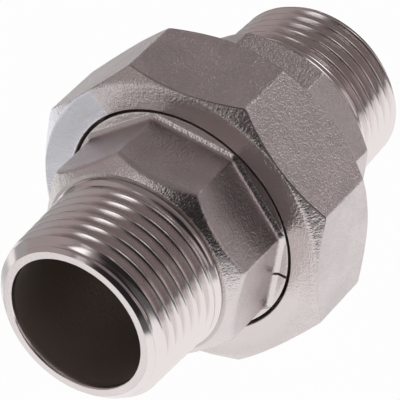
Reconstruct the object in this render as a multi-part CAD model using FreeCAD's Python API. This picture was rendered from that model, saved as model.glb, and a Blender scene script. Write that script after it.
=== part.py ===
"""Straight pipe union with a male taper thread at each end, three cast and turned steel pieces.

The pipe axis is X. The tail end is at -X and the thread-piece end at +X. The union lies on one
flat of its nut, and the origin is on that surface, below the middle of the union's length.
Lengths are in millimetres, +Z is up.
"""
import FreeCAD, Part
import math
import os

from FreeCAD import Vector

# Pipe thread on both free ends, a 1 inch taper thread
PIPE_THREAD_MAJOR = 33.249
PIPE_THREAD_PITCH = 2.309
PIPE_THREAD_DEPTH = 1.479
PIPE_GAUGE_LENGTH = 10.391
PIPE_TAPER = 1 / 16
LIP_PITCHES = 0.4
LIP_RISE = 0.25
CREASE_WIDTH = 0.5
CREASE_DEPTH = 0.45

# Bore through both ends and the flat face around its mouths
BORE_DIAMETER = 25.3
END_FACE_WIDTH = 1.55

# Thread between the nut and the thread piece, a 50 mm by 2 mm thread shown at its pitch diameter
UNION_THREAD_MAJOR = 50.0
UNION_THREAD_PITCH = 2.0
PITCH_LINE_FACTOR = 0.6495
MINOR_LINE_FACTOR = 1.0825

# Tail piece, the end that the nut holds by its collar
TAIL_THREAD_LENGTH = 18.2
TAIL_FLATS = 38.0
TAIL_FLATS_LENGTH = 13.45
TAIL_FLATS_TURN = 7.9
TAIL_CONE_ANGLE = 50.0
COVE_LENGTH = 0.75
COVE_RISE = 0.9
COLLAR_BEARING = 1.65
COLLAR_LENGTH = 4.0
NOSE_LENGTH = 5.0
NOSE_EDGE = 0.5
SEAT_HALF_ANGLE = 30.0

# Union nut
NUT_WALL = 2.2
NUT_WIDTH = 17.05
NUT_FLANGE = 4.15
NUT_FACE_PROUD = 0.45
NUT_FACE_DISH = 0.3
NUT_FACE_RIM = 0.5
NUT_FRONT_CHAMFER_ANGLE = 49.0
NUT_BACK_CHAMFER_ANGLE = 44.0
NUT_CHAMFER_INSET = 0.15
NUT_MOUTH_CHAMFER = 1.0
RELIEF_DEPTH = 0.2
RELIEF_LENGTH = 4.3

# Thread piece
BARREL_LENGTH = 9.2
BARREL_CHAMFER = 0.9
SEAT_LAND = 4.1
SEAT_DEPTH = 5.2
PIECE_FLATS = 38.0
PIECE_FLATS_LENGTH = 14.2
PIECE_FLATS_TURN = 9.5
PIECE_CONE_ANGLE = 49.0
PIECE_THREAD_LENGTH = 15.95

# Cast edges and clearances
SIDES = 8
FLATS_EDGE_RADIUS = 0.5
NUT_EDGE_RADIUS = 1.0
SHOULDER_CLEARANCE = 0.55
COLLAR_CLEARANCE = 0.3
COLLAR_PLAY = 0.05
BARREL_GAP = 0.8
SEAT_GAP = 0.1
THREAD_CLEARANCE = 0.08

# Radii that follow from the sizes above
BORE_R = BORE_DIAMETER / 2
END_FACE_R = BORE_R + END_FACE_WIDTH
NUT_THREAD_R = (UNION_THREAD_MAJOR - PITCH_LINE_FACTOR * UNION_THREAD_PITCH) / 2
BARREL_R = NUT_THREAD_R - THREAD_CLEARANCE
RELIEF_R = UNION_THREAD_MAJOR / 2 + RELIEF_DEPTH
NUT_FLATS = 2 * (RELIEF_R + NUT_WALL)
COLLAR_R = (UNION_THREAD_MAJOR - MINOR_LINE_FACTOR * UNION_THREAD_PITCH) / 2 - COLLAR_CLEARANCE
HOLE_R = COLLAR_R - COLLAR_BEARING
SHOULDER_R = HOLE_R - SHOULDER_CLEARANCE
SEAT_SLOPE = math.tan(math.radians(SEAT_HALF_ANGLE))
SEAT_R = BARREL_R - SEAT_LAND
NOSE_R = SEAT_R + BARREL_GAP * SEAT_SLOPE - SEAT_GAP / math.cos(math.radians(SEAT_HALF_ANGLE))

# Stations along the axis, measured from the tail's end face
SHOULDER_X = TAIL_THREAD_LENGTH + TAIL_FLATS_LENGTH + COVE_LENGTH
NUT_FACE_X = SHOULDER_X - NUT_FACE_PROUD
FLANGE_BACK_X = NUT_FACE_X + NUT_FLANGE
NUT_BACK_X = NUT_FACE_X + NUT_WIDTH
COLLAR_X = FLANGE_BACK_X + COLLAR_PLAY
NOSE_X = COLLAR_X + COLLAR_LENGTH
NOSE_END_X = NOSE_X + NOSE_LENGTH
BARREL_X = NOSE_X + BARREL_GAP
BARREL_BACK_X = BARREL_X + BARREL_LENGTH
SEAT_END_X = BARREL_X + SEAT_DEPTH
PIECE_LIP_X = BARREL_BACK_X + PIECE_FLATS_LENGTH
END_X = PIECE_LIP_X + PIECE_THREAD_LENGTH


def crest_radius(distance_from_end):
    """Crest radius of the taper thread at a distance from the end face."""
    return PIPE_THREAD_MAJOR / 2 - (PIPE_GAUGE_LENGTH - distance_from_end) * PIPE_TAPER / 2


def revolved(profile):
    """Solid of revolution about X of a closed outline of (x, radius) points."""
    points = [Vector(x, 0, r) for x, r in profile]
    face = Part.Face(Part.makePolygon(points + points[:1]))
    return face.revolve(Vector(0, 0, 0), Vector(1, 0, 0), 360)


def bar(profile):
    """Solid turned part: the outline is closed along the axis."""
    return revolved([(profile[0][0], 0)] + profile + [(profile[-1][0], 0)])


def octagon(across_flats, x, turn, edge_radius):
    """Wire of an octagon across X with rounded corners, turned about X by turn degrees."""
    half_step = math.pi / SIDES
    corner_r = across_flats / 2 / math.cos(half_step)
    centre_r = corner_r - edge_radius / math.cos(half_step)
    arcs = []
    for i in range(SIDES):
        angle = math.radians(turn) + (2 * i + 1) * half_step
        ends = []
        for lean in (-half_step, 0, half_step):
            y = centre_r * math.cos(angle) + edge_radius * math.cos(angle + lean)
            z = centre_r * math.sin(angle) + edge_radius * math.sin(angle + lean)
            ends.append(Vector(x, y, z))
        arcs.append(ends)
    edges = []
    for here, after in zip(arcs, arcs[1:] + arcs[:1]):
        edges.append(Part.Arc(*here).toShape())
        edges.append(Part.LineSegment(here[2], after[0]).toShape())
    return Part.Wire(edges)


def octagon_bar(across_flats, x0, x1, turn, edge_radius):
    """Octagonal bar from x0 to x1."""
    face = Part.Face(octagon(across_flats, x0, turn, edge_radius))
    return face.extrude(Vector(x1 - x0, 0, 0))


def threaded_end(length):
    """Outline of a taper-threaded end as (distance from the end face, radius) points."""
    chamfer = (crest_radius(0) - END_FACE_R) / (1 - PIPE_TAPER / 2)
    crest_end = length - LIP_PITCHES * PIPE_THREAD_PITCH
    return [
        (0, END_FACE_R),
        (chamfer, crest_radius(chamfer)),
        (crest_end, crest_radius(crest_end)),
        (length, crest_radius(length) + LIP_RISE),
    ]


def octagon_behind_lip(across_flats, lip_x, lip_r, end_x, turn, cone_angle):
    """Octagonal bar from end_x to the lip, where a cone cuts its corners down to the lip."""
    corner_r = across_flats / 2 / math.cos(math.pi / SIDES)
    towards_end = math.copysign(1, end_x - lip_x)
    cone_length = (corner_r - lip_r) / math.tan(math.radians(cone_angle))
    cone = bar([
        (lip_x, lip_r),
        (lip_x + towards_end * cone_length, corner_r),
        (end_x, corner_r),
    ])
    flats = octagon_bar(across_flats, lip_x, end_x, turn, FLATS_EDGE_RADIUS)
    return flats.common(cone)


def crease(lip_x, lip_r, towards_end):
    """Ring to cut away for the narrow crease between the lip and the cone behind it."""
    side = CREASE_WIDTH / 2
    return revolved([
        (lip_x + towards_end * 0.2 * side, lip_r + CREASE_DEPTH),
        (lip_x + towards_end * 1.2 * side, lip_r - CREASE_DEPTH),
        (lip_x + towards_end * 2.2 * side, lip_r + 3 * CREASE_DEPTH),
    ])


def tail_piece():
    thread = threaded_end(TAIL_THREAD_LENGTH)
    nose_end_r = NOSE_R - NOSE_LENGTH * SEAT_SLOPE
    screw_end = bar(thread)
    held_end = bar([
        (SHOULDER_X, SHOULDER_R),
        (COLLAR_X, SHOULDER_R),
        (COLLAR_X, COLLAR_R),
        (NOSE_X, COLLAR_R),
        (NOSE_X, NOSE_R),
        (NOSE_END_X - NOSE_EDGE, nose_end_r + NOSE_EDGE * SEAT_SLOPE),
        (NOSE_END_X, nose_end_r - NOSE_EDGE),
    ])
    flats = octagon_behind_lip(
        TAIL_FLATS, TAIL_THREAD_LENGTH, thread[-1][1], SHOULDER_X, TAIL_FLATS_TURN, TAIL_CONE_ANGLE)
    # The cove swells the octagon where it meets the shoulder, within the shoulder's circle
    cove = Part.makeLoft([
        octagon(TAIL_FLATS, SHOULDER_X - COVE_LENGTH, TAIL_FLATS_TURN, FLATS_EDGE_RADIUS),
        octagon(TAIL_FLATS + 2 * COVE_RISE, SHOULDER_X, TAIL_FLATS_TURN, FLATS_EDGE_RADIUS),
    ], True)
    within = bar([(SHOULDER_X - COVE_LENGTH, SHOULDER_R), (SHOULDER_X, SHOULDER_R)])
    body = screw_end.fuse([flats, cove.common(within), held_end])
    body = body.cut(crease(TAIL_THREAD_LENGTH, thread[-1][1], 1))
    return body.cut(Part.makeCylinder(BORE_R, NOSE_END_X, Vector(0, 0, 0), Vector(1, 0, 0)))


def union_nut():
    corner_r = NUT_FLATS / 2 / math.cos(math.pi / SIDES)
    face_r = NUT_FLATS / 2 - NUT_CHAMFER_INSET
    front = (corner_r - face_r) / math.tan(math.radians(NUT_FRONT_CHAMFER_ANGLE))
    back = (corner_r - face_r) / math.tan(math.radians(NUT_BACK_CHAMFER_ANGLE))
    blank = octagon_bar(NUT_FLATS, NUT_FACE_X, NUT_BACK_X, 0, NUT_EDGE_RADIUS)
    chamfered = blank.common(bar([
        (NUT_FACE_X, face_r),
        (NUT_FACE_X + front, corner_r),
        (NUT_BACK_X - back, corner_r),
        (NUT_BACK_X, face_r),
    ]))
    thread_x = FLANGE_BACK_X + RELIEF_LENGTH
    hollow = bar([
        (NUT_FACE_X, face_r - NUT_FACE_RIM),
        (NUT_FACE_X + NUT_FACE_DISH, HOLE_R),
        (FLANGE_BACK_X, HOLE_R),
        (FLANGE_BACK_X, RELIEF_R),
        (thread_x, RELIEF_R),
        (thread_x + RELIEF_R - NUT_THREAD_R, NUT_THREAD_R),
        (NUT_BACK_X - NUT_MOUTH_CHAMFER, NUT_THREAD_R),
        (NUT_BACK_X, NUT_THREAD_R + NUT_MOUTH_CHAMFER),
    ])
    return chamfered.cut(hollow)


def thread_piece():
    thread = threaded_end(PIECE_THREAD_LENGTH)
    screw_end = bar([(END_X - s, r) for s, r in reversed(thread)])
    barrel = bar([
        (BARREL_X, BARREL_R - BARREL_CHAMFER),
        (BARREL_X + BARREL_CHAMFER, BARREL_R),
        (BARREL_BACK_X, BARREL_R),
    ])
    flats = octagon_behind_lip(
        PIECE_FLATS, PIECE_LIP_X, thread[-1][1], BARREL_BACK_X, PIECE_FLATS_TURN, PIECE_CONE_ANGLE)
    seat = bar([
        (BARREL_X, SEAT_R),
        (SEAT_END_X, SEAT_R - SEAT_DEPTH * SEAT_SLOPE),
    ])
    bore = Part.makeCylinder(BORE_R, END_X - BARREL_X, Vector(BARREL_X, 0, 0), Vector(1, 0, 0))
    body = barrel.fuse([flats, screw_end]).cut(crease(PIECE_LIP_X, thread[-1][1], -1))
    return body.cut(seat).cut(bore)


def placed(shape):
    """Move a piece from axis stations to the union's own frame and tidy its faces."""
    moved = shape.removeSplitter()
    moved.translate(Vector(-END_X / 2, 0, NUT_FLATS / 2))
    return moved


os.makedirs("parts", exist_ok=True)
pieces = {
    "tail_piece": tail_piece(),
    "union_nut": union_nut(),
    "thread_piece": thread_piece(),
}
for name, shape in pieces.items():
    solid = placed(shape)
    print(name, "solids", len(solid.Solids), "valid", solid.isValid(), "volume", round(solid.Volume, 1))
    solid.exportStep("parts/" + name + ".step")
print("length", round(END_X, 3), "across the nut's flats", round(NUT_FLATS, 3))
print("nut from", round(NUT_FACE_X, 3), "to", round(NUT_BACK_X, 3))
print("bore of the tail piece", round(NOSE_END_X, 3), "of the thread piece", round(END_X - SEAT_END_X, 3))
print("union thread engaged over", round(NUT_BACK_X - BARREL_X, 3))
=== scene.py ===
"""Looks of a straight steel pipe union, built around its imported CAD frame.

Each of the three steel pieces is one closed mesh. An outline runs over the outside and back
through the bore, and is repeated for a few hundred angles about the pipe axis. Stations are in
millimetres along the axis from the tail's end face, and angles are in degrees from +Y towards +Z.
"""
import math

import bpy
import numpy as np
from mathutils import Matrix, noise


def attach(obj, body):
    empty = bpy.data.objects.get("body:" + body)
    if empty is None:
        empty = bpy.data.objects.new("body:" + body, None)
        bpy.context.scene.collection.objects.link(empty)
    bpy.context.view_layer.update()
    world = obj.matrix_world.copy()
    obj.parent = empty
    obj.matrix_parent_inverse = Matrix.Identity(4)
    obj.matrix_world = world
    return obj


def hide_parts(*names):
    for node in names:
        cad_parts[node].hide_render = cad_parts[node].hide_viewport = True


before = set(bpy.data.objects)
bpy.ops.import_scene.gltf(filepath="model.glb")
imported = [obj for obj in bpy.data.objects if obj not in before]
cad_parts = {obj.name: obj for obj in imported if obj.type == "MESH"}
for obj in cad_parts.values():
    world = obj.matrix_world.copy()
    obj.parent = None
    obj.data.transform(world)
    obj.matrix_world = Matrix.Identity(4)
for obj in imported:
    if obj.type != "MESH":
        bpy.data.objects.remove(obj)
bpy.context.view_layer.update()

# Sizes shared with the CAD source, in millimetres
END_X = 80.3
AXIS_HEIGHT = 27.4
SIDES = 8
BORE_R = 12.65
END_FACE_R = 14.2
PIPE_THREAD_MAJOR = 33.249
PIPE_THREAD_PITCH = 2.309
PIPE_THREAD_DEPTH = 1.479
PIPE_GAUGE_LENGTH = 10.391
PIPE_TAPER = 1 / 16
LIP_RISE = 0.25
CREASE_WIDTH = 0.5
CREASE_DEPTH = 0.45
TAIL_THREAD_LENGTH = 18.2
PIECE_THREAD_LENGTH = 15.95
FLATS = 38.0
FLATS_EDGE_RADIUS = 0.5
TAIL_FLATS_TURN = 7.9
TAIL_CONE_ANGLE = 50.0
TAIL_FLATS_BACK_X = 31.65
COVE_RISE = 0.9
SHOULDER_X = 32.4
SHOULDER_R = 21.4175
COLLAR_X = 36.15
COLLAR_R = 23.6175
NOSE_X = 40.15
NOSE_R = 20.517
NOSE_END_X = 45.15
NOSE_END_R = 17.63
NUT_FLATS = 54.8
NUT_EDGE_RADIUS = 1.0
NUT_FACE_X = 31.95
NUT_FACE_DISH = 0.3
NUT_BACK_X = 49.0
NUT_FACE_R = 27.25
NUT_HOLE_R = 21.9675
FLANGE_BACK_X = 36.1
RELIEF_R = 25.2
NUT_FRONT_CHAMFER_ANGLE = 49.0
NUT_BACK_CHAMFER_ANGLE = 44.0
BARREL_X = 40.95
BARREL_BACK_X = 50.15
SEAT_R = 20.17
SEAT_END_X = 46.15
SEAT_END_R = 17.17
PIECE_LIP_X = 64.35
PIECE_FLATS_TURN = 9.5
PIECE_CONE_ANGLE = 49.0

# Pipe threads: place of the crest at angle 0, in pitches, and rounding of crest and root
TAIL_THREAD_PHASE = 0.58
PIECE_THREAD_PHASE = 0.29
CREST_RADIUS = 0.12 * PIPE_THREAD_PITCH
ROOT_RADIUS = 0.137 * PIPE_THREAD_PITCH
FLANK_ANGLE = 27.5
THREAD_START = 0.03
THREAD_STEP = 0.09
FACE_CHAMFER_ROUNDING = 0.12

# The last turn loses most of its depth between two distances from the lip, and rises to the lip
# from a third
RUNOUT_FROM = 1.15 * PIPE_THREAD_PITCH
RUNOUT_TO = 0.8 * PIPE_THREAD_PITCH
RUNOUT_LOSS = 0.72
LIP_FROM = 0.6 * PIPE_THREAD_PITCH

# Between lip and neck: shares of the crease's width, height of the lip's edge, slope of the necks
LIP_EDGE_SHARE = 0.2
CREASE_FLOOR_SHARE = 0.6
LIP_EDGE_RISE = 0.02
TAIL_NECK_SLOPE = 1.19
PIECE_NECK_SLOPE = 1.15

# Chamfers at the bore's mouth and at the end of the nose, along the axis and outwards
MOUTH_CHAMFER_LENGTH = 0.25
MOUTH_CHAMFER_WIDTH = 0.18
NOSE_CHAMFER = 0.5
NOSE_CHAMFER_RISE = 0.29

# The cove ends this far before the shoulder and inside it
COVE_END = 0.05
COVE_MARGIN = 0.1

# Union thread: its sharp crest, how far nut and barrel stand off it, and the radii that cut it off
UNION_PITCH = 2.0
UNION_SHARP_R = 25.2165
UNION_THREAD_STEP = 0.125
NUT_PLAY = 0.13
NUT_CREST_R = 23.92
NUT_ROOT_R = 25.05
BARREL_PLAY = -0.03
BARREL_CREST_R = 24.97
BARREL_ROOT_R = 23.773

# Ends of the union thread on the barrel and in the nut
BARREL_THREAD_MARGIN = 0.3
BARREL_FACE_R = 23.4
BARREL_CHAMFER_R = 23.7
BARREL_CHAMFER_ROUNDING = 0.1
BARREL_BACK_R = 24.0
NUT_MOUTH_R = 25.35
NUT_MOUTH_CHAMFER = 0.15
NUT_THREAD_END_X = 40.4
RELIEF_X = 40.2

# The nut's front: chamfer at the edge of its hole, middle of its dish, and width of its edge line
NUT_HOLE_CHAMFER = 0.15
NUT_DISH_R = 25.2
NUT_DISH_SHARE = 0.38
EDGE_LINE_WIDTH = 0.32

# The meshes: angles per octagon side and how many of them are evenly spread, rounding of corners,
# and lumps of the castings as (share, size in mm)
END_ANGLES_PER_SIDE = 32
NUT_ANGLES_PER_SIDE = 40
EVEN_SHARE = 0.25
ROUNDING_ROOM = 0.42
ROUNDING_STEPS = (0, 0.33, 0.67, 1)
BROAD_LUMPS = (0.7, 3.1)
SMALL_LUMPS = (0.5, 1.3)

# How surfaces are finished: turned bright, lump height in mm, painted shade (in the bore, the crease,
# the gap between nut and tail, and on the nut's face, chamfer and edge line), wrinkled, how far the
# piece's scar shows on it, and whether the piece's ground patch, with its painted pale reflection, may
# cross it. All but the height become attributes of the mesh
FINISH_COLUMNS = {"turned": 0, "painted_shade": 2, "wrinkled": 3, "scar": 4, "ground_and_reflection": 5}
TURNED = (1.0, 0.0, 0.0, 0.0, 0.0, 0.0)
FACED = (0.65, 0.02, 0.2, 0.25, 0.0, 1.0)
SHOULDER = (0.65, 0.02, 0.25, 0.25, 1.0, 0.0)
EDGE_LINE = (0.1, 0.03, 0.3, 0.3, 1.0, 0.0)
FACED_RIM = (0.5, 0.03, 0.2, 0.45, 0.0, 1.0)
END_FACED = (0.5, 0.02, 0.0, 0.0, 0.0, 0.0)
SHADED = (0.2, 0.0, 1.0, 0.0, 0.0, 0.0)
CAST = (0.0, 0.03, 0.0, 0.0, 0.0, 0.0)
CAST_NECK = (0.45, 0.05, 0.0, 0.35, 0.0, 0.0)
CREASED = (0.45, 0.03, 0.5, 0.3, 0.0, 0.0)
CAST_CHAMFER = (0.3, 0.05, 0.1, 0.6, 0.0, 1.0)
COVE = (0.45, 0.02, 0.0, 0.05, 1.0, 0.0)
BORE = (0.35, 0.0, 1.0, 0.0, 0.0, 0.0)

# The nut's face is ground smooth and has a painted pale lilac reflection between two angles, softly
# from the first, sharply at the second
GROUND_FROM, GROUND_SOFT = -30.0, 30
GROUND_TO, GROUND_EDGE = 48.7, 1

# A nick crosses the tail's cove: its angle, half its width, and the mesh's extra angles about it
NICK_ANGLE = 188.4
NICK_HALF_WIDTH = 0.7
NICK_STEPS = (-1.1, -0.6, 0.6, 1.1)

# The nut's front edges are dark from one angle on, and darker still between two more
EDGE_DARKNESS = 0.38
EDGE_FROM = 0
EDGE_SOFT = 20
EDGE_EXTRA_GAIN = 1.6
EDGE_EXTRA_FROM, EDGE_EXTRA_TO = 92.0, 158.0
EDGE_EXTRA_END_SOFT = 8


def degrees_round_octagon(turn, per_side):
    """Angles once round the axis, closer together near the octagon's corners."""
    u = np.arange(per_side) / per_side
    share = EVEN_SHARE * u + (1 - EVEN_SHARE) * (1 - np.cos(np.pi * u)) / 2
    side = 360 / SIDES
    corners = turn + side / 2 + side * np.arange(SIDES)
    return (corners[:, None] + side * share[None, :]).ravel()


def octagon_radius(angles, across_flats, turn, edge_radius):
    """Distance from the axis to an octagon with rounded corners, at each angle."""
    half_side = math.pi / SIDES
    apothem = across_flats / 2
    centre = (apothem - edge_radius) / math.cos(half_side)
    from_corner = np.abs((np.radians(angles - turn) % (2 * half_side)) - half_side)
    arc_end = half_side - math.atan((apothem - edge_radius) * math.tan(half_side) / apothem)
    flat = apothem / np.cos(half_side - from_corner)
    inside_root = np.clip(edge_radius ** 2 - (centre * np.sin(from_corner)) ** 2, 0, None)
    arc = centre * np.cos(from_corner) + np.sqrt(inside_root)
    return np.where(from_corner < arc_end, arc, flat)


def soft_min(a, b, width):
    """The smaller of two radii, with the edge between them rounded over a width."""
    share = np.clip(0.5 + 0.5 * (b - a) / width, 0, 1)
    return b * (1 - share) + a * share - width * share * (1 - share)


def smooth_step(value, low, high):
    """0 below low and 1 above high, rising softly between them."""
    t = np.clip((value - low) / (high - low), 0, 1)
    return t * t * (3 - 2 * t)


def thread_form(u, pitch, depth):
    """Depth below the crest of a round-cornered thread, u pitches away from its crest."""
    flank = math.radians(FLANK_ANGLE)
    crest_x, root_x = CREST_RADIUS * math.cos(flank), ROOT_RADIUS * math.cos(flank)
    along = np.abs(u) * pitch
    half = pitch / 2
    crest = CREST_RADIUS - np.sqrt(np.clip(CREST_RADIUS ** 2 - along ** 2, 0, None))
    crest_drop = CREST_RADIUS * (1 - math.sin(flank))
    root_rise = ROOT_RADIUS * (1 - math.sin(flank))
    slope = (depth - crest_drop - root_rise) / (half - crest_x - root_x)
    straight = crest_drop + (along - crest_x) * slope
    from_root = half - along
    root = depth - ROOT_RADIUS + np.sqrt(np.clip(ROOT_RADIUS ** 2 - from_root ** 2, 0, None))
    return np.where(along < crest_x, crest, np.where(from_root < root_x, root, straight))


def pipe_thread(angles, length, phase, face_x, outwards):
    """Corners of a taper thread from its end face to its runout, one station after another.

    outwards is 1 where the axis runs from the end face into the piece, and -1 at the other end.
    """
    crest_at_face = (PIPE_THREAD_MAJOR - PIPE_GAUGE_LENGTH * PIPE_TAPER) / 2
    corners = []
    for s in np.linspace(THREAD_START, length, int(round(length / THREAD_STEP))):
        x = face_x + outwards * s
        crest = crest_at_face + s * PIPE_TAPER / 2
        turns = x / PIPE_THREAD_PITCH - angles / 360 - phase
        u = (turns + 0.5) % 1 - 0.5
        # The last turn is shallow and runs into the proud lip
        fade = 1 - RUNOUT_LOSS * smooth_step(s, length - RUNOUT_FROM, length - RUNOUT_TO)
        r = crest - fade * thread_form(u, PIPE_THREAD_PITCH, PIPE_THREAD_DEPTH)
        r += (crest + LIP_RISE - r) * smooth_step(s, length - LIP_FROM, length)
        r = soft_min(r, END_FACE_R + s, FACE_CHAMFER_ROUNDING)
        corners.append((x, r, 0.0, 1, TURNED))
    return corners


def lip_radius(thread_length):
    """Radius of the proud lip that a pipe thread of some length ends in."""
    return (PIPE_THREAD_MAJOR - (PIPE_GAUGE_LENGTH - thread_length) * PIPE_TAPER) / 2 + LIP_RISE


def cone_length(flats, start_r, cone_angle):
    """Length along the axis of a cone from a radius out to the octagon, at each angle."""
    return (flats - start_r) / math.tan(math.radians(cone_angle))


def union_thread(angles, start_x, end_x, low, high, play):
    """Corners of the union thread between two stations, cut off at a low and a high radius."""
    sharp_depth = UNION_PITCH * math.sqrt(3) / 2
    steps = max(2, int(round(abs(end_x - start_x) / UNION_THREAD_STEP)))
    corners = []
    for x in np.linspace(start_x, end_x, steps + 1):
        u = (x / UNION_PITCH - angles / 360 + 0.5) % 1 - 0.5
        r = UNION_SHARP_R - 2 * sharp_depth * np.abs(u) + play
        corners.append((x, np.clip(r, low, high), 0.0, 1, TURNED))
    return corners


def outline_points(corners, count):
    """Stations by angles of (x, r), with each corner rounded, and each station's finish.

    A corner is (x, r, rounding, steps to the next corner, finish from here on).
    """
    x = np.array([np.broadcast_to(c[0], count) for c in corners], float)
    r = np.array([np.broadcast_to(c[1], count) for c in corners], float)
    points = np.stack([x, r], -1)
    to_next = np.roll(points, -1, 0) - points
    length = np.maximum(np.linalg.norm(to_next, axis=-1), 1e-6)
    heading = to_next / length[..., None]
    entries, exits = [], []
    for i, corner in enumerate(corners):
        room = ROUNDING_ROOM * np.minimum(length[i - 1], length[i])
        rounding = np.minimum(corner[2], room)[:, None]
        entries.append(points[i] - rounding * heading[i - 1])
        exits.append(points[i] + rounding * heading[i])
    rows, finishes = [], []
    for i, corner in enumerate(corners):
        before, after = corners[i - 1][4], corner[4]
        if corner[2] > 0:
            for t in ROUNDING_STEPS:
                rows.append(entries[i] * (1 - t) ** 2 + points[i] * 2 * t * (1 - t) + exits[i] * t ** 2)
                finishes.append(tuple(b * (1 - t) + a * t for b, a in zip(before, after)))
        else:
            rows.append(points[i])
            finishes.append(after)
        ahead = entries[(i + 1) % len(corners)]
        for k in range(1, corner[3]):
            t = k / corner[3]
            rows.append(exits[i] * (1 - t) + ahead * t)
            finishes.append(after)
    return np.array(rows), np.array(finishes)


def lumps(points, share, size):
    """Smooth noise between about -share and share, with lumps of a size in mm."""
    return share * np.array([noise.noise(p) for p in (points / size).tolist()])


def ring_mesh(name, corners, angles, seed, patch=0.0, scar=0.0):
    """Closed mesh of an outline that may change from angle to angle, in the frame's metres.

    seed shifts the lumps, in mm. patch is the share at each angle of the ground patch with its painted
    pale reflection, and scar the darkness of a nick, or of the nut's edge line by angle.
    """
    grid, finish = outline_points(corners, len(angles))
    theta = np.radians(angles)[None, :]
    x, r = grid[..., 0], grid[..., 1]
    points = np.stack([x, r * np.cos(theta), r * np.sin(theta)], -1)
    along = np.roll(points, -1, 0) - np.roll(points, 1, 0)
    around = np.roll(points, -1, 1) - np.roll(points, 1, 1)
    normal = np.cross(around, along)
    normal /= np.maximum(np.linalg.norm(normal, axis=-1, keepdims=True), 1e-9)
    flat = points.reshape(-1, 3)
    lump = lumps(flat + seed, *BROAD_LUMPS) + lumps(flat + 2 * seed, *SMALL_LUMPS)
    stations, count = grid.shape[:2]
    height = np.repeat(finish[:, 1], count)
    points = flat + normal.reshape(-1, 3) * (height * lump)[:, None]
    points -= np.array([END_X / 2, 0, -AXIS_HEIGHT])

    index = np.arange(stations * count).reshape(stations, count)
    onward, beside = np.roll(index, -1, 0), np.roll(index, -1, 1)
    both = np.roll(onward, -1, 1)
    faces = np.stack([index, beside, both, onward], -1).reshape(-1, 4)

    mesh = bpy.data.meshes.new(name)
    mesh.from_pydata((points / 1000).tolist(), [], faces.tolist())
    mesh.polygons.foreach_set("use_smooth", np.ones(len(faces), bool))
    columns = np.repeat(finish[:, :, None], count, 2)
    columns[:, FINISH_COLUMNS["scar"]] *= scar
    columns[:, FINISH_COLUMNS["ground_and_reflection"]] *= patch
    for label, column in FINISH_COLUMNS.items():
        attribute = mesh.attributes.new(label, "FLOAT", "POINT")
        attribute.data.foreach_set("value", columns[:, column].ravel().astype(np.float32))
    mesh.update()
    piece = bpy.data.objects.new(name, mesh)
    bpy.context.scene.collection.objects.link(piece)
    return piece


def make_tail_piece():
    """Thread, neck, octagon, cove, shoulder, collar and nose, and back through the bore."""
    angles = degrees_round_octagon(TAIL_FLATS_TURN, END_ANGLES_PER_SIDE)
    angles = np.sort(np.append(angles, NICK_ANGLE + np.array(NICK_STEPS)))
    lip_x, lip_r = TAIL_THREAD_LENGTH, lip_radius(TAIL_THREAD_LENGTH)
    flats = octagon_radius(angles, FLATS, TAIL_FLATS_TURN, FLATS_EDGE_RADIUS)
    cone_x = lip_x + cone_length(flats, lip_r, TAIL_CONE_ANGLE)
    cove = np.minimum(flats + COVE_RISE, SHOULDER_R - COVE_MARGIN)
    corners = [
        (MOUTH_CHAMFER_LENGTH, BORE_R, 0.0, 1, TURNED),
        (0, BORE_R + MOUTH_CHAMFER_WIDTH, 0.1, 4, END_FACED),
        (0, END_FACE_R, 0.03, 1, TURNED),
    ]
    corners += pipe_thread(angles, TAIL_THREAD_LENGTH, TAIL_THREAD_PHASE, 0, 1)
    corners += [
        (lip_x + LIP_EDGE_SHARE * CREASE_WIDTH, lip_r + LIP_EDGE_RISE, 0.04, 1, TURNED),
        (lip_x + CREASE_FLOOR_SHARE * CREASE_WIDTH, lip_r - CREASE_DEPTH, 0.08, 1, CREASED),
        (lip_x + CREASE_WIDTH, lip_r + TAIL_NECK_SLOPE * CREASE_WIDTH, 0.1, 8, CAST_NECK),
        (cone_x, flats, 0.6, 26, CAST),
        (TAIL_FLATS_BACK_X, flats, 0.48, 4, COVE),
        (SHOULDER_X - COVE_END, cove, 0.1, 3, SHOULDER),
        (SHOULDER_X, SHOULDER_R, 0.05, 5, SHADED),
        (COLLAR_X, SHOULDER_R, 0.1, 3, TURNED),
        (COLLAR_X, COLLAR_R, 0.15, 4, TURNED),
        (NOSE_X, COLLAR_R, 0.15, 3, TURNED),
        (NOSE_X, NOSE_R, 0.1, 6, TURNED),
        (NOSE_END_X - NOSE_CHAMFER, NOSE_END_R + NOSE_CHAMFER_RISE, 0.15, 1, TURNED),
        (NOSE_END_X, NOSE_END_R - NOSE_CHAMFER, 0.15, 4, TURNED),
        (NOSE_END_X, BORE_R, 0.15, 40, BORE),
    ]
    scar = np.abs(angles - NICK_ANGLE) < NICK_HALF_WIDTH
    return ring_mesh("tail_end_dressed", corners, angles, seed=3.7, scar=scar)


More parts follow.
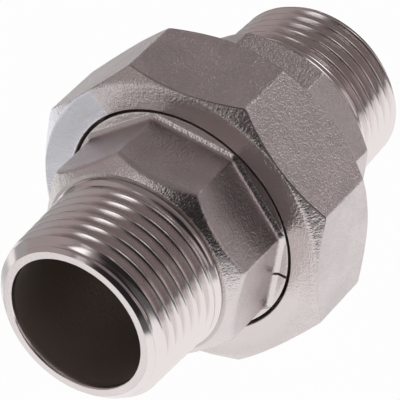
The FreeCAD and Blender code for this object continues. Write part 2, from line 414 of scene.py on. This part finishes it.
def make_thread_piece():
    """Through the bore to the seat, then barrel, octagon, neck and thread."""
    angles = degrees_round_octagon(PIECE_FLATS_TURN, END_ANGLES_PER_SIDE)
    lip_x, lip_r = PIECE_LIP_X, lip_radius(PIECE_THREAD_LENGTH)
    flats = octagon_radius(angles, FLATS, PIECE_FLATS_TURN, FLATS_EDGE_RADIUS)
    cone_x = lip_x - cone_length(flats, lip_r, PIECE_CONE_ANGLE)
    corners = [
        (END_X - MOUTH_CHAMFER_LENGTH, BORE_R, 0.1, 30, BORE),
        (SEAT_END_X, BORE_R, 0.15, 4, TURNED),
        (SEAT_END_X, SEAT_END_R, 0.1, 6, TURNED),
        (BARREL_X, SEAT_R, 0.15, 4, TURNED),
        (BARREL_X, BARREL_FACE_R, 0.15, 1, TURNED),
    ]
    for x, r, *rest in union_thread(
            angles, BARREL_X + BARREL_THREAD_MARGIN, BARREL_BACK_X - BARREL_THREAD_MARGIN,
            BARREL_ROOT_R, BARREL_CREST_R, BARREL_PLAY):
        chamfer_r = BARREL_CHAMFER_R + (x - BARREL_X)
        corners.append((x, soft_min(r, chamfer_r, BARREL_CHAMFER_ROUNDING), *rest))
    corners += [
        (BARREL_BACK_X, BARREL_BACK_R, 0.1, 6, TURNED),
        (BARREL_BACK_X, flats, 0.2, 24, CAST),
        (cone_x, flats, 0.18, 8, CAST_NECK),
        (lip_x - CREASE_WIDTH, lip_r + PIECE_NECK_SLOPE * CREASE_WIDTH, 0.1, 1, CAST_NECK),
        (lip_x - CREASE_FLOOR_SHARE * CREASE_WIDTH, lip_r - CREASE_DEPTH, 0.08, 1, TURNED),
        (lip_x - LIP_EDGE_SHARE * CREASE_WIDTH, lip_r + LIP_EDGE_RISE, 0.04, 1, TURNED),
    ]
    corners += pipe_thread(angles, PIECE_THREAD_LENGTH, PIECE_THREAD_PHASE, END_X, -1)[::-1]
    corners += [
        (END_X, END_FACE_R, 0.03, 4, END_FACED),
        (END_X, BORE_R + MOUTH_CHAMFER_WIDTH, 0.1, 1, TURNED),
    ]
    return ring_mesh("thread_end_dressed", corners, angles, seed=11.3)


def make_union_nut():
    """Dished face, chamfer, octagon and back, then union thread, relief and flange inside."""
    angles = degrees_round_octagon(0, NUT_ANGLES_PER_SIDE)
    flats = octagon_radius(angles, NUT_FLATS, 0, NUT_EDGE_RADIUS)
    front_x = NUT_FACE_X + cone_length(flats, NUT_FACE_R, NUT_FRONT_CHAMFER_ANGLE)
    back_x = NUT_BACK_X - cone_length(flats, NUT_FACE_R, NUT_BACK_CHAMFER_ANGLE)
    corners = [
        (NUT_FACE_X + NUT_FACE_DISH + NUT_HOLE_CHAMFER, NUT_HOLE_R, 0.05, 1, SHADED),
        (NUT_FACE_X + NUT_FACE_DISH, NUT_HOLE_R + NUT_HOLE_CHAMFER, 0.05, 7, FACED),
        (NUT_FACE_X + NUT_DISH_SHARE * NUT_FACE_DISH, NUT_DISH_R, 0.8, 6, FACED_RIM),
        (NUT_FACE_X, NUT_FACE_R, 0.5, 6, CAST_CHAMFER),
        (front_x, flats, 0.3, 1, EDGE_LINE),
        (front_x + EDGE_LINE_WIDTH, flats, 0.0, 30, CAST),
        (back_x, flats, 0.3, 6, CAST),
        (NUT_BACK_X, NUT_FACE_R, 0.15, 4, TURNED),
        (NUT_BACK_X, NUT_MOUTH_R, 0.1, 2, TURNED),
    ]
    for x, r, *rest in union_thread(
            angles, NUT_BACK_X - NUT_MOUTH_CHAMFER, NUT_THREAD_END_X, NUT_CREST_R, NUT_ROOT_R, NUT_PLAY):
        chamfer_r = NUT_MOUTH_R - NUT_MOUTH_CHAMFER - (NUT_BACK_X - x)
        corners.append((x, np.maximum(r, chamfer_r), *rest))
    corners += [
        (RELIEF_X, RELIEF_R, 0.1, 4, TURNED),
        (FLANGE_BACK_X, RELIEF_R, 0.2, 4, TURNED),
        (FLANGE_BACK_X, NUT_HOLE_R, 0.1, 4, SHADED),
    ]
    turn = (angles + 180) % 360 - 180
    patch = smooth_step(turn, GROUND_FROM, GROUND_FROM + GROUND_SOFT)
    patch *= 1 - smooth_step(turn, GROUND_TO - GROUND_EDGE, GROUND_TO + GROUND_EDGE)
    scar = EDGE_DARKNESS * smooth_step(turn, EDGE_FROM, EDGE_FROM + EDGE_SOFT)
    scar *= 1 - smooth_step(turn, EDGE_EXTRA_TO, EDGE_EXTRA_TO + EDGE_EXTRA_END_SOFT)
    scar *= 1 + EDGE_EXTRA_GAIN * smooth_step(turn, EDGE_EXTRA_FROM, EDGE_EXTRA_FROM + EDGE_SOFT)
    return ring_mesh("nut_dressed", corners, angles, seed=7.9, patch=patch, scar=scar)


class Graph:
    """Small helper that adds and joins shader nodes."""

    def __init__(self, tree):
        self.tree = tree

    def feed(self, socket, value):
        """Join a socket to another node's output, or give it a plain value."""
        if isinstance(value, bpy.types.NodeSocket):
            self.tree.links.new(value, socket)
        else:
            socket.default_value = value

    def add(self, kind, inputs=(), **settings):
        node = self.tree.nodes.new("ShaderNode" + kind)
        for key, value in settings.items():
            setattr(node, key, value)
        for key, value in dict(inputs).items():
            self.feed(node.inputs[key], value)
        return node

    def math(self, operation, a, b=0.0):
        return self.add("Math", {0: a, 1: b}, operation=operation).outputs[0]

    def range(self, value, low, high, to_low, to_high):
        node = self.add("MapRange", {"Value": value, "From Min": low, "From Max": high,
                                     "To Min": to_low, "To Max": to_high})
        return node.outputs["Result"]

    def mix(self, share, a, b):
        node = self.add("Mix", data_type="RGBA")
        colours = [s for s in node.inputs if s.type == "RGBA"]
        for socket, value in ((node.inputs["Factor"], share), (colours[0], a), (colours[1], b)):
            self.feed(socket, value)
        return [s for s in node.outputs if s.type == "RGBA"][0]


def new_material(name):
    material = bpy.data.materials.new(name)
    material.use_nodes = True
    material.node_tree.nodes.clear()
    return material, Graph(material.node_tree)


# Steel: colours of the finishes, and their roughness, which varies by as much less and more
CAST_DARK = (0.69, 0.63, 0.63, 1)
# The next colour is painted shade, mixed into the bore, the crease, the gap's walls and the nut's face
PAINTED_SHADE_COLOUR = (0.52, 0.465, 0.43, 1)
# The next colour is a painted pale lilac reflection of the white paper, on the nut's ground patch
GROUND_REFLECTION_COLOUR = (0.91, 0.895, 0.955, 1)
SCAR_COLOUR = (0.04, 0.035, 0.035, 1)
CAST_LESS, CAST_MORE = 0.04, 0.06
TURNED_ROUGHNESS = 0.14
TURNED_SPREAD = 0.02
DULL_ROUGHNESS = 0.6

# Noises as (scale, detail), the values between which they act, and how high each part of the
# relief stands
NOISE_LOW, NOISE_HIGH = 0.3, 0.7
BLOTCH_LOW, BLOTCH_HIGH = 0.35, 0.65
BROAD_NOISE = (160.0, 4.0)
FINE_NOISE = (2600.0, 2.0)
COARSE_NOISE = (900.0, 3.0)
LATHE_SCALE = 9000.0
STREAK_SCALE = (2600.0, 1100.0, 1100.0)
FINE_HEIGHT = 1.4
LATHE_HEIGHT = 0.10
WRINKLE_HEIGHT = 1.8
GROUND_HEIGHT = 0.3


def steel(name, cast_light, turned_colour, cast_roughness, grain):
    """Stainless casting: matte and grained where cast, bright with lathe lines where turned.

    grain is the depth of the relief in metres.
    """
    material, g = new_material(name)
    place = g.add("TexCoord").outputs["Object"]
    turned, painted_shade, wrinkled, scar, ground_and_reflection = (
        g.add("Attribute", attribute_name=label).outputs["Fac"] for label in FINISH_COLUMNS)

    # Place about the pipe axis: along the arc at the nut's size, outwards, and along the axis
    axis = g.add("SeparateXYZ", {0: place})
    across = g.math("SUBTRACT", axis.outputs["Z"], AXIS_HEIGHT / 1000)
    squares = g.math("ADD", g.math("POWER", axis.outputs["Y"], 2.0), g.math("POWER", across, 2.0))
    reach = g.math("SQRT", squares)
    arc = g.math("MULTIPLY", g.math("ARCTAN2", across, axis.outputs["Y"]), NUT_FACE_R / 1000)
    round_place = g.add("CombineXYZ", {"X": arc, "Y": reach, "Z": axis.outputs["X"]}).outputs[0]

    broad, fine, coarse = (
        g.add("TexNoise", {"Vector": place, "Scale": scale, "Detail": detail}).outputs["Fac"]
        for scale, detail in (BROAD_NOISE, FINE_NOISE, COARSE_NOISE))
    cast_colour = g.mix(g.range(broad, BLOTCH_LOW, BLOTCH_HIGH, 0, 1), CAST_DARK, cast_light)
    colour = g.mix(turned, cast_colour, turned_colour)
    # Painted shade darkens the bore, the crease, the gap's walls and the nut's face, chamfer and edge
    # line
    colour = g.mix(painted_shade, colour, PAINTED_SHADE_COLOUR)
    # The ground patch gets a painted pale lilac reflection of the paper, and is smoother
    colour = g.mix(ground_and_reflection, colour, GROUND_REFLECTION_COLOUR)
    colour = g.mix(scar, colour, SCAR_COLOUR)

    rough = g.range(fine, NOISE_LOW, NOISE_HIGH, cast_roughness - CAST_LESS, cast_roughness + CAST_MORE)
    turned_rough = g.range(broad, NOISE_LOW, NOISE_HIGH,
                           TURNED_ROUGHNESS - TURNED_SPREAD, TURNED_ROUGHNESS + TURNED_SPREAD)
    roughness = g.math("ADD", g.math("MULTIPLY", turned, turned_rough),
                       g.math("MULTIPLY", g.math("SUBTRACT", 1.0, turned), rough))
    for dull in (painted_shade, scar):
        roughness = g.math("MAXIMUM", roughness, g.math("MULTIPLY", dull, DULL_ROUGHNESS))

    # Blasted grain on the castings, wrinkles by the nut's front edges, lathe lines where turned
    lathe = g.add("TexNoise", {"W": g.math("ADD", reach, axis.outputs["X"]), "Scale": LATHE_SCALE,
                               "Detail": 1.0}, noise_dimensions="1D").outputs["Fac"]
    streak_place = g.add("VectorMath", {0: round_place, 1: STREAK_SCALE},
                         operation="MULTIPLY").outputs[0]
    streaks = g.add("TexNoise", {"Vector": streak_place, "Scale": 1.0, "Detail": 2.0,
                                 "Distortion": 0.6}).outputs["Fac"]
    grain_height = g.math("MULTIPLY", g.math("SUBTRACT", 1.0, turned),
                          g.math("ADD", g.math("MULTIPLY", fine, FINE_HEIGHT), coarse))
    lathe_height = g.math("MULTIPLY", g.math("MULTIPLY", turned, lathe), LATHE_HEIGHT)
    wrinkle_height = g.math("MULTIPLY", g.math("MULTIPLY", wrinkled, streaks), WRINKLE_HEIGHT)
    height = g.math("ADD", g.math("ADD", grain_height, lathe_height), wrinkle_height)
    height = g.math("MULTIPLY", height, g.range(ground_and_reflection, 0, 1, 1.0, GROUND_HEIGHT))
    bump = g.add("Bump", {"Height": height, "Strength": 1.0, "Distance": grain})

    shader = g.add("BsdfPrincipled", {"Base Color": colour, "Metallic": 1.0,
                                      "Roughness": roughness, "Normal": bump.outputs["Normal"]})
    g.add("OutputMaterial", {"Surface": shader.outputs["BSDF"]})
    return material


cast_steel = steel("cast_steel_look", cast_light=(0.77, 0.70, 0.70, 1),
                   turned_colour=(0.85, 0.79, 0.78, 1), cast_roughness=0.36, grain=0.00008)
nut_steel = steel("nut_steel_look", cast_light=(0.78, 0.71, 0.705, 1),
                  turned_colour=(0.84, 0.78, 0.77, 1), cast_roughness=0.34, grain=0.00013)

for piece, node, body, slot, material in (
        (make_tail_piece(), "tail_piece", "tail_end", "cast_steel", cast_steel),
        (make_union_nut(), "union_nut", "nut", "nut_steel", nut_steel),
        (make_thread_piece(), "thread_piece", "thread_end", "cast_steel", cast_steel)):
    piece.data.materials.append(material)
    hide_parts(node)
    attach(piece, body)

# Camera at the photograph's view, placed by a fit to the pieces' edges
CAMERA_PLACE = (-0.40844, -0.24922, 0.41143)
CAMERA_RIGHT = (0.5303, -0.8477, 0.0120)
CAMERA_DOWN = (-0.5264, -0.3403, -0.7791)
CAMERA_FORWARD = (0.6646, 0.4068, -0.6267)
FOCAL_PIXELS = 3572.8
IMAGE_PIXELS = 400
SENSOR = 36.0

camera = bpy.data.objects.new("camera", bpy.data.cameras.new("camera"))
bpy.context.scene.collection.objects.link(camera)
camera.data.sensor_fit = "HORIZONTAL"
camera.data.sensor_width = SENSOR
camera.data.lens = FOCAL_PIXELS / IMAGE_PIXELS * SENSOR
camera.data.clip_start, camera.data.clip_end = 0.01, 100
axes = [CAMERA_RIGHT, [-v for v in CAMERA_DOWN], [-v for v in CAMERA_FORWARD]]
camera.matrix_world = Matrix.Translation(CAMERA_PLACE) @ Matrix(axes).transposed().to_4x4()
bpy.context.scene.camera = camera

# Studio round the union as the metal mirrors it: soft windows and dark screens against a dim room,
# whose level changes a little between two elevations. Each window or screen is (azimuth, half
# width, elevation, half height, soft edge, level), in degrees, and a level of 1 is white
ROOM_LEVEL = 0.19
ROOM_TOP_LEVEL = 0.20
ROOM_TOP_FROM, ROOM_TOP_TO = 25, 60
WINDOWS = [
    (-130, 50, 62, 14, 10, 0.15),
    (-155, 34, 17, 35, 8, 0.02),
    (-98, 15, 12, 22, 8, 0.60),
    (-43, 11, 4, 17, 5, 0.72),
    (-14, 11, 6, 14, 6, 0.50),
    (-12, 14, 33, 12, 6, 1.60),
    (14, 12, 8, 16, 5, 0.04),
    (37, 8, 14, 18, 5, 0.50),
    (60, 8, 17, 9, 4, 0.05),
    (56, 12, 1, 5, 3, 0.50),
    (82, 8, 12, 22, 6, 0.36),
    (118, 24, 24, 24, 8, 0.35),
    (122, 26, 0, 8, 6, 0.36),
    (156.8, 6.3, 17, 23, 5, 1.25),
]

# The room's light is warm, and turns white between two levels
ROOM_TINT = (1.0, 0.87, 0.865, 1)
WHITE = (1, 1, 1, 1)
WHITE_FROM, WHITE_TO = 0.5, 1.0


def turned_about(g, direction, azimuth):
    """Azimuth of a direction as seen from another azimuth, in degrees either side of it."""
    a = math.radians(azimuth)
    ahead = g.add("VectorMath", {0: direction, 1: (math.cos(a), math.sin(a), 0)},
                  operation="DOT_PRODUCT").outputs["Value"]
    beside = g.add("VectorMath", {0: direction, 1: (-math.sin(a), math.cos(a), 0)},
                   operation="DOT_PRODUCT").outputs["Value"]
    return g.math("DEGREES", g.math("ARCTAN2", beside, ahead))


def inside(g, value, half, soft):
    """1 within half of zero, falling softly to 0."""
    node = g.add("MapRange", {"Value": g.math("ABSOLUTE", value), "From Min": half - soft / 2,
                              "From Max": half + soft / 2, "To Min": 1.0, "To Max": 0.0},
                 interpolation_type="SMOOTHSTEP")
    return node.outputs["Result"]


def level_mix(g, share, a, b):
    """a where share is 0 and b where it is 1."""
    return g.math("ADD", g.math("MULTIPLY", g.math("SUBTRACT", 1.0, share), a),
                  g.math("MULTIPLY", share, b))


world = bpy.data.worlds.new("studio")
world.use_nodes = True
world.node_tree.nodes.clear()
bpy.context.scene.world = world
g = Graph(world.node_tree)
toward = g.add("TexCoord").outputs["Generated"]
elevation = g.math("DEGREES", g.math("ARCSINE", g.add("SeparateXYZ", {0: toward}).outputs["Z"]))
level = g.range(elevation, ROOM_TOP_FROM, ROOM_TOP_TO, ROOM_LEVEL, ROOM_TOP_LEVEL)
for azimuth, half_width, middle, half_height, soft, brightness in WINDOWS:
    share = g.math("MULTIPLY", inside(g, turned_about(g, toward, azimuth), half_width, soft),
                   inside(g, g.math("SUBTRACT", elevation, middle), half_height, soft))
    level = level_mix(g, share, level, brightness)
tint = g.mix(g.range(level, WHITE_FROM, WHITE_TO, 0, 1), ROOM_TINT, WHITE)
around = g.add("Background", {"Color": tint, "Strength": level})
behind = g.add("Background", {"Color": WHITE, "Strength": 1.0})
choice = g.add("MixShader", {0: g.add("LightPath").outputs["Is Camera Ray"],
                             1: around.outputs[0], 2: behind.outputs[0]})
g.add("OutputWorld", {"Surface": choice.outputs[0]})

# White paper under the union, which keeps a faint shadow. The metal mirrors it as white within
# a distance of its middle, which fades to a dark table farther out
FLOOR_HALF = 6.0
FLOOR_COLOUR = (0.85, 0.85, 0.85, 1)
FLOOR_GLOW = 0.98
PAPER_MIDDLE = (0.005, 0.005, 0)
PAPER_NEAR, PAPER_FAR = 0.138, 0.158
PAPER_LEVEL = 0.97
TABLE_LEVEL = 0.10

# The mirrored table is paler towards some sides, as (azimuth, half width, soft edge, level, and
# how far out in metres), and darker under the union, as (middle, near, far, share left)
PALE_SIDES = [
    (52, 24, 12, 0.42, 20.0),
    (-60, 22, 14, 0.9, 0.52),
    (-98, 26, 8, 0.42, 0.52),
    (120, 28, 10, 0.38, 20.0),
]
SHADES = [
    ((-0.0580, 0.0450, 0), 0.0080, 0.0095, 0.42),
    ((-0.0460, 0.0620, 0), 0.024, 0.032, 0.58),
]
floor_mesh = bpy.data.meshes.new("floor")
floor_mesh.from_pydata([(-FLOOR_HALF, -FLOOR_HALF, 0), (FLOOR_HALF, -FLOOR_HALF, 0),
                        (FLOOR_HALF, FLOOR_HALF, 0), (-FLOOR_HALF, FLOOR_HALF, 0)], [], [(0, 1, 2, 3)])
floor = bpy.data.objects.new("floor", floor_mesh)
bpy.context.scene.collection.objects.link(floor)
floor_white, g = new_material("floor_white")
path = g.add("LightPath").outputs
place = g.add("TexCoord").outputs["Object"]
distance = g.add("VectorMath", {0: place, 1: PAPER_MIDDLE}, operation="DISTANCE").outputs["Value"]
mirrored = g.range(distance, PAPER_NEAR, PAPER_FAR, PAPER_LEVEL, TABLE_LEVEL)
for azimuth, half_width, soft, brightness, reach in PALE_SIDES:
    share = g.math("MULTIPLY", inside(g, turned_about(g, place, azimuth), half_width, soft),
                   g.range(distance, reach / 2, reach, 1.0, 0.0))
    mirrored = level_mix(g, share, mirrored, g.math("MAXIMUM", mirrored, brightness))
for middle, near, far, share in SHADES:
    away = g.add("VectorMath", {0: place, 1: middle}, operation="DISTANCE").outputs["Value"]
    mirrored = g.math("MULTIPLY", mirrored, g.range(away, near, far, share, 1.0))
level = g.math("ADD", path["Is Camera Ray"], g.math("MULTIPLY", path["Is Glossy Ray"], mirrored))
glow = g.add("Emission", {"Color": WHITE, "Strength": level})
plain = g.add("BsdfDiffuse", {"Color": FLOOR_COLOUR})
seen = g.math("MULTIPLY", g.math("MAXIMUM", path["Is Camera Ray"], path["Is Glossy Ray"]), FLOOR_GLOW)
blend = g.add("MixShader", {0: seen, 1: plain.outputs[0], 2: glow.outputs[0]})
g.add("OutputMaterial", {"Surface": blend.outputs[0]})
floor_mesh.materials.append(floor_white)

bpy.context.scene.view_settings.view_transform = "Standard"
bpy.context.view_layer.update()
